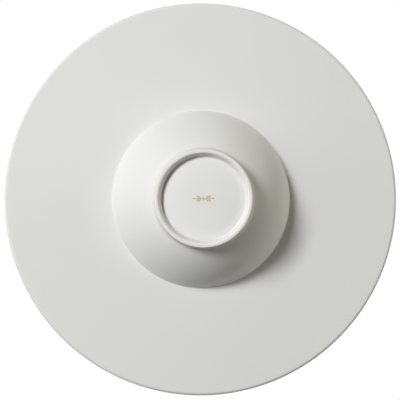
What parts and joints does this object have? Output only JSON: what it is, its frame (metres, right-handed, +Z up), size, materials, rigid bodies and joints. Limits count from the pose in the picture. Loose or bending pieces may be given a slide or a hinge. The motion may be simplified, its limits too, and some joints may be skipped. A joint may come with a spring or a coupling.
{
  "type": "deep plate",
  "caption": "Round white porcelain deep plate with a wide flat rim, a bowl-shaped well, a foot ring to stand on and a small gold ornament printed on its base.",
  "frame": {"origin": "centre of the foot ring's standing face, on the plate's axis", "axes": "+Z up along the plate's axis, from the foot to the eating side; +X along the length of the ornament on the base; +Y completes the frame"},
  "size_m": [0.28, 0.28, 0.05],
  "materials": {
    "biscuit": "fired porcelain without glaze, finely ground",
    "glaze": "white satin-matt glaze",
    "gold": "fired gold print, satin"
  },
  "bodies": {
    "root": {"rim": "biscuit", "well_wall": "biscuit", "well_floor": "biscuit", "foot_ring": "biscuit", "upper_glaze": "glaze", "underside_glaze": "glaze", "base_glaze": "glaze", "backstamp": "gold"}
  },
  "joints": []
}
